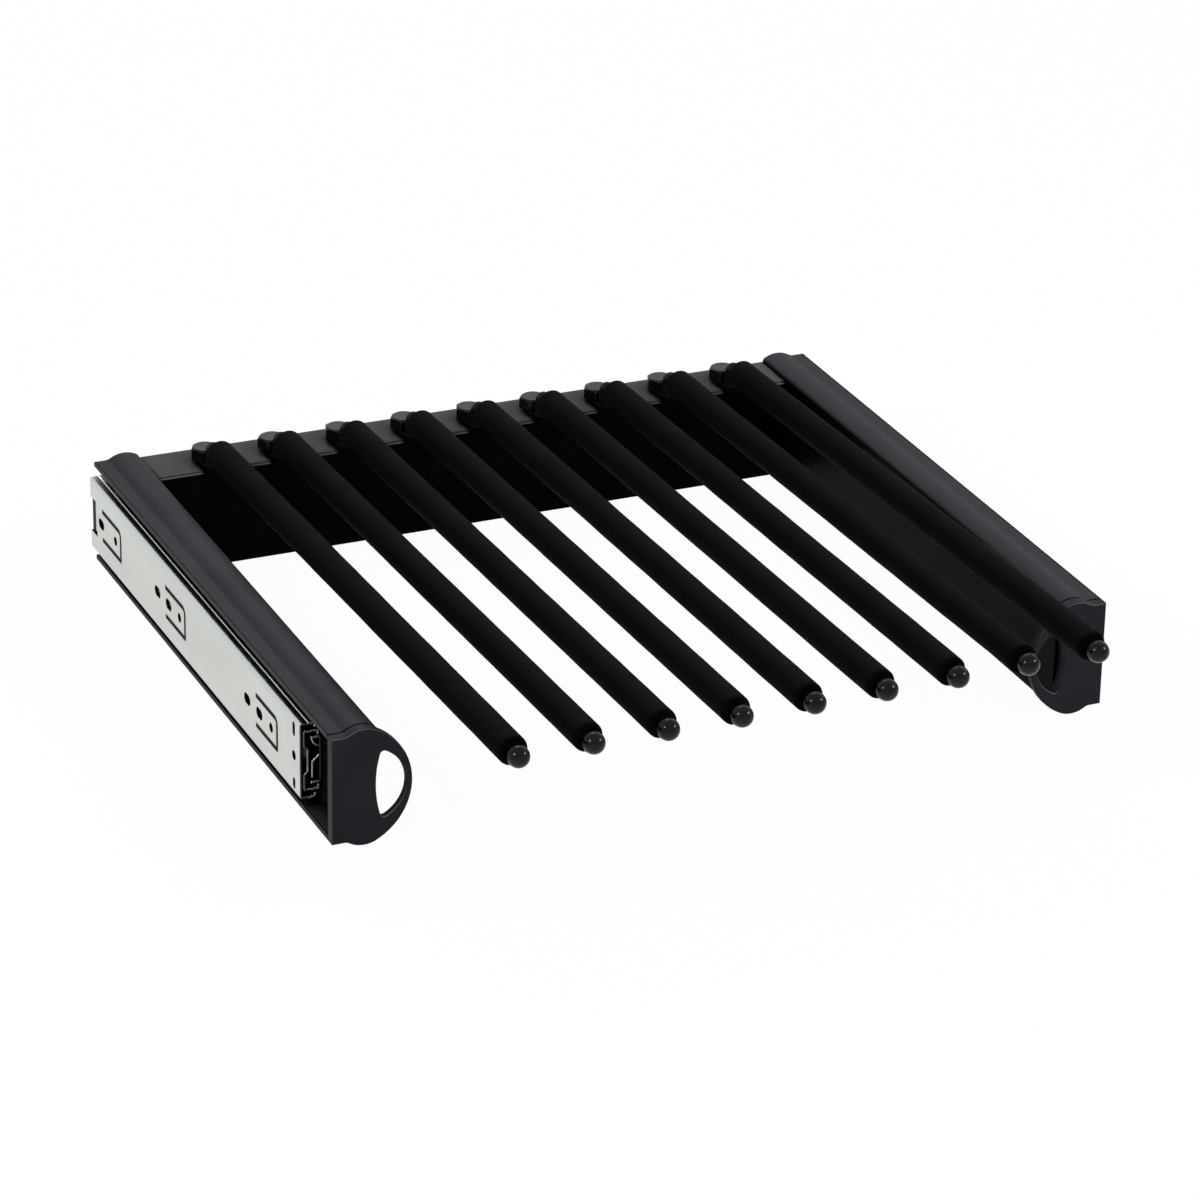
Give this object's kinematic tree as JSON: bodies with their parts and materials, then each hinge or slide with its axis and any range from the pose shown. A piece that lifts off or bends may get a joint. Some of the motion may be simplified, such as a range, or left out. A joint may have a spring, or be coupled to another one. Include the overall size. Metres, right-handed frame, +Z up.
{
  "type": "pull-out trouser rack",
  "caption": "Pull-out trouser rack for a wardrobe: foam-sleeved rods on a rear rail between side casings that run on ball-bearing slides, with finger-loop end caps.",
  "frame": {"origin": "middle of the footprint, at the lowest line of the casings, with the rack closed", "axes": "+X to the right seen from the front, +Y to the back of the wardrobe, +Z up"},
  "size_m": [0.468, 0.4998, 0.1008],
  "materials": {
    "zinc_steel": "bright zinc-plated sheet steel",
    "cage_steel": "plain sheet steel, lightly greased",
    "ball_steel": "polished bearing steel",
    "screw_steel": "zinc-plated steel",
    "black_plastic": "moulded black plastic",
    "black_cap": "moulded black plastic, fine grain",
    "black_coated_profile": "extruded profile with satin black powder coat",
    "black_coated_rail": "box profile with satin black powder coat",
    "rod_steel": "steel rod with black lacquer",
    "foam": "closed-cell foam tube, matt black",
    "tip_plastic": "satin black plastic ball",
    "bolt_steel": "steel bolts with blue-black finish"
  },
  "bodies": {
    "fixed_members": {"outer_member_left": "zinc_steel", "outer_member_right": "zinc_steel", "rear_stop_left": "black_plastic", "rear_stop_right": "black_plastic"},
    "carriage": {"inner_member_left": "zinc_steel", "slide_screws_left": "screw_steel", "rail_screws_left": "screw_steel", "lever_pin_left": "screw_steel", "rail_plug_left": "black_plastic", "casing_left": "black_coated_profile", "end_cap_left": "black_cap", "inner_member_right": "zinc_steel", "slide_screws_right": "screw_steel", "rail_screws_right": "screw_steel", "lever_pin_right": "screw_steel", "rail_plug_right": "black_plastic", "casing_right": "black_coated_profile", "end_cap_right": "black_cap", "back_rail": "black_coated_rail", "rod_bolts": "bolt_steel", "rod_nuts": "screw_steel", "rod_1": "rod_steel", "sleeve_1": "foam", "tip_1": "tip_plastic", "rod_2": "rod_steel", "sleeve_2": "foam", "tip_2": "tip_plastic", "rod_3": "rod_steel", "sleeve_3": "foam", "tip_3": "tip_plastic", "rod_4": "rod_steel", "sleeve_4": "foam", "tip_4": "tip_plastic", "rod_5": "rod_steel", "sleeve_5": "foam", "tip_5": "tip_plastic", "rod_6": "rod_steel", "sleeve_6": "foam", "tip_6": "tip_plastic", "rod_7": "rod_steel", "sleeve_7": "foam", "tip_7": "tip_plastic", "rod_8": "rod_steel", "sleeve_8": "foam", "tip_8": "tip_plastic", "rod_9": "rod_steel", "sleeve_9": "foam", "tip_9": "tip_plastic"},
    "middle_left": {"middle_member_left": "zinc_steel"},
    "outer_cage_set_left": {"outer_cage_left": "cage_steel", "outer_balls_left": "ball_steel"},
    "inner_cage_set_left": {"inner_cage_left": "cage_steel", "inner_balls_left": "ball_steel"},
    "lever_left": {"release_lever_left": "black_plastic"},
    "middle_right": {"middle_member_right": "zinc_steel"},
    "outer_cage_set_right": {"outer_cage_right": "cage_steel", "outer_balls_right": "ball_steel"},
    "inner_cage_set_right": {"inner_cage_right": "cage_steel", "inner_balls_right": "ball_steel"},
    "lever_right": {"release_lever_right": "black_plastic"}
  },
  "joints": [
    {"name": "pull_out", "type": "slide", "parent": "fixed_members", "child": "carriage", "axis": [0, -1, 0], "range_m": [0, 0.35]},
    {"name": "middle_slide_left", "type": "slide", "parent": "fixed_members", "child": "middle_left", "axis": [0, -1, 0], "range_m": [0, 0.175]},
    {"name": "outer_cage_slide_left", "type": "slide", "parent": "fixed_members", "child": "outer_cage_set_left", "axis": [0, -1, 0], "range_m": [0, 0.0875]},
    {"name": "inner_cage_slide_left", "type": "slide", "parent": "fixed_members", "child": "inner_cage_set_left", "axis": [0, -1, 0], "range_m": [0, 0.2625]},
    {"name": "lever_pivot_left", "type": "hinge", "parent": "carriage", "child": "lever_left", "pos_m": [-0.2239, -0.06106, 0.03444], "axis": [1, 0, 0], "range_deg": [-6, 6], "stiffness_Nm_per_rad": 0.2},
    {"name": "middle_slide_right", "type": "slide", "parent": "fixed_members", "child": "middle_right", "axis": [0, -1, 0], "range_m": [0, 0.175]},
    {"name": "outer_cage_slide_right", "type": "slide", "parent": "fixed_members", "child": "outer_cage_set_right", "axis": [0, -1, 0], "range_m": [0, 0.0875]},
    {"name": "inner_cage_slide_right", "type": "slide", "parent": "fixed_members", "child": "inner_cage_set_right", "axis": [0, -1, 0], "range_m": [0, 0.2625]},
    {"name": "lever_pivot_right", "type": "hinge", "parent": "carriage", "child": "lever_right", "pos_m": [0.2239, -0.06106, 0.03444], "axis": [1, 0, 0], "range_deg": [-6, 6], "stiffness_Nm_per_rad": 0.2}
  ],
  "couplings": [
    {"joint": "middle_slide_left", "follows": "pull_out", "ratio": 0.5},
    {"joint": "outer_cage_slide_left", "follows": "pull_out", "ratio": 0.25},
    {"joint": "inner_cage_slide_left", "follows": "pull_out", "ratio": 0.75},
    {"joint": "middle_slide_right", "follows": "pull_out", "ratio": 0.5},
    {"joint": "outer_cage_slide_right", "follows": "pull_out", "ratio": 0.25},
    {"joint": "inner_cage_slide_right", "follows": "pull_out", "ratio": 0.75}
  ]
}
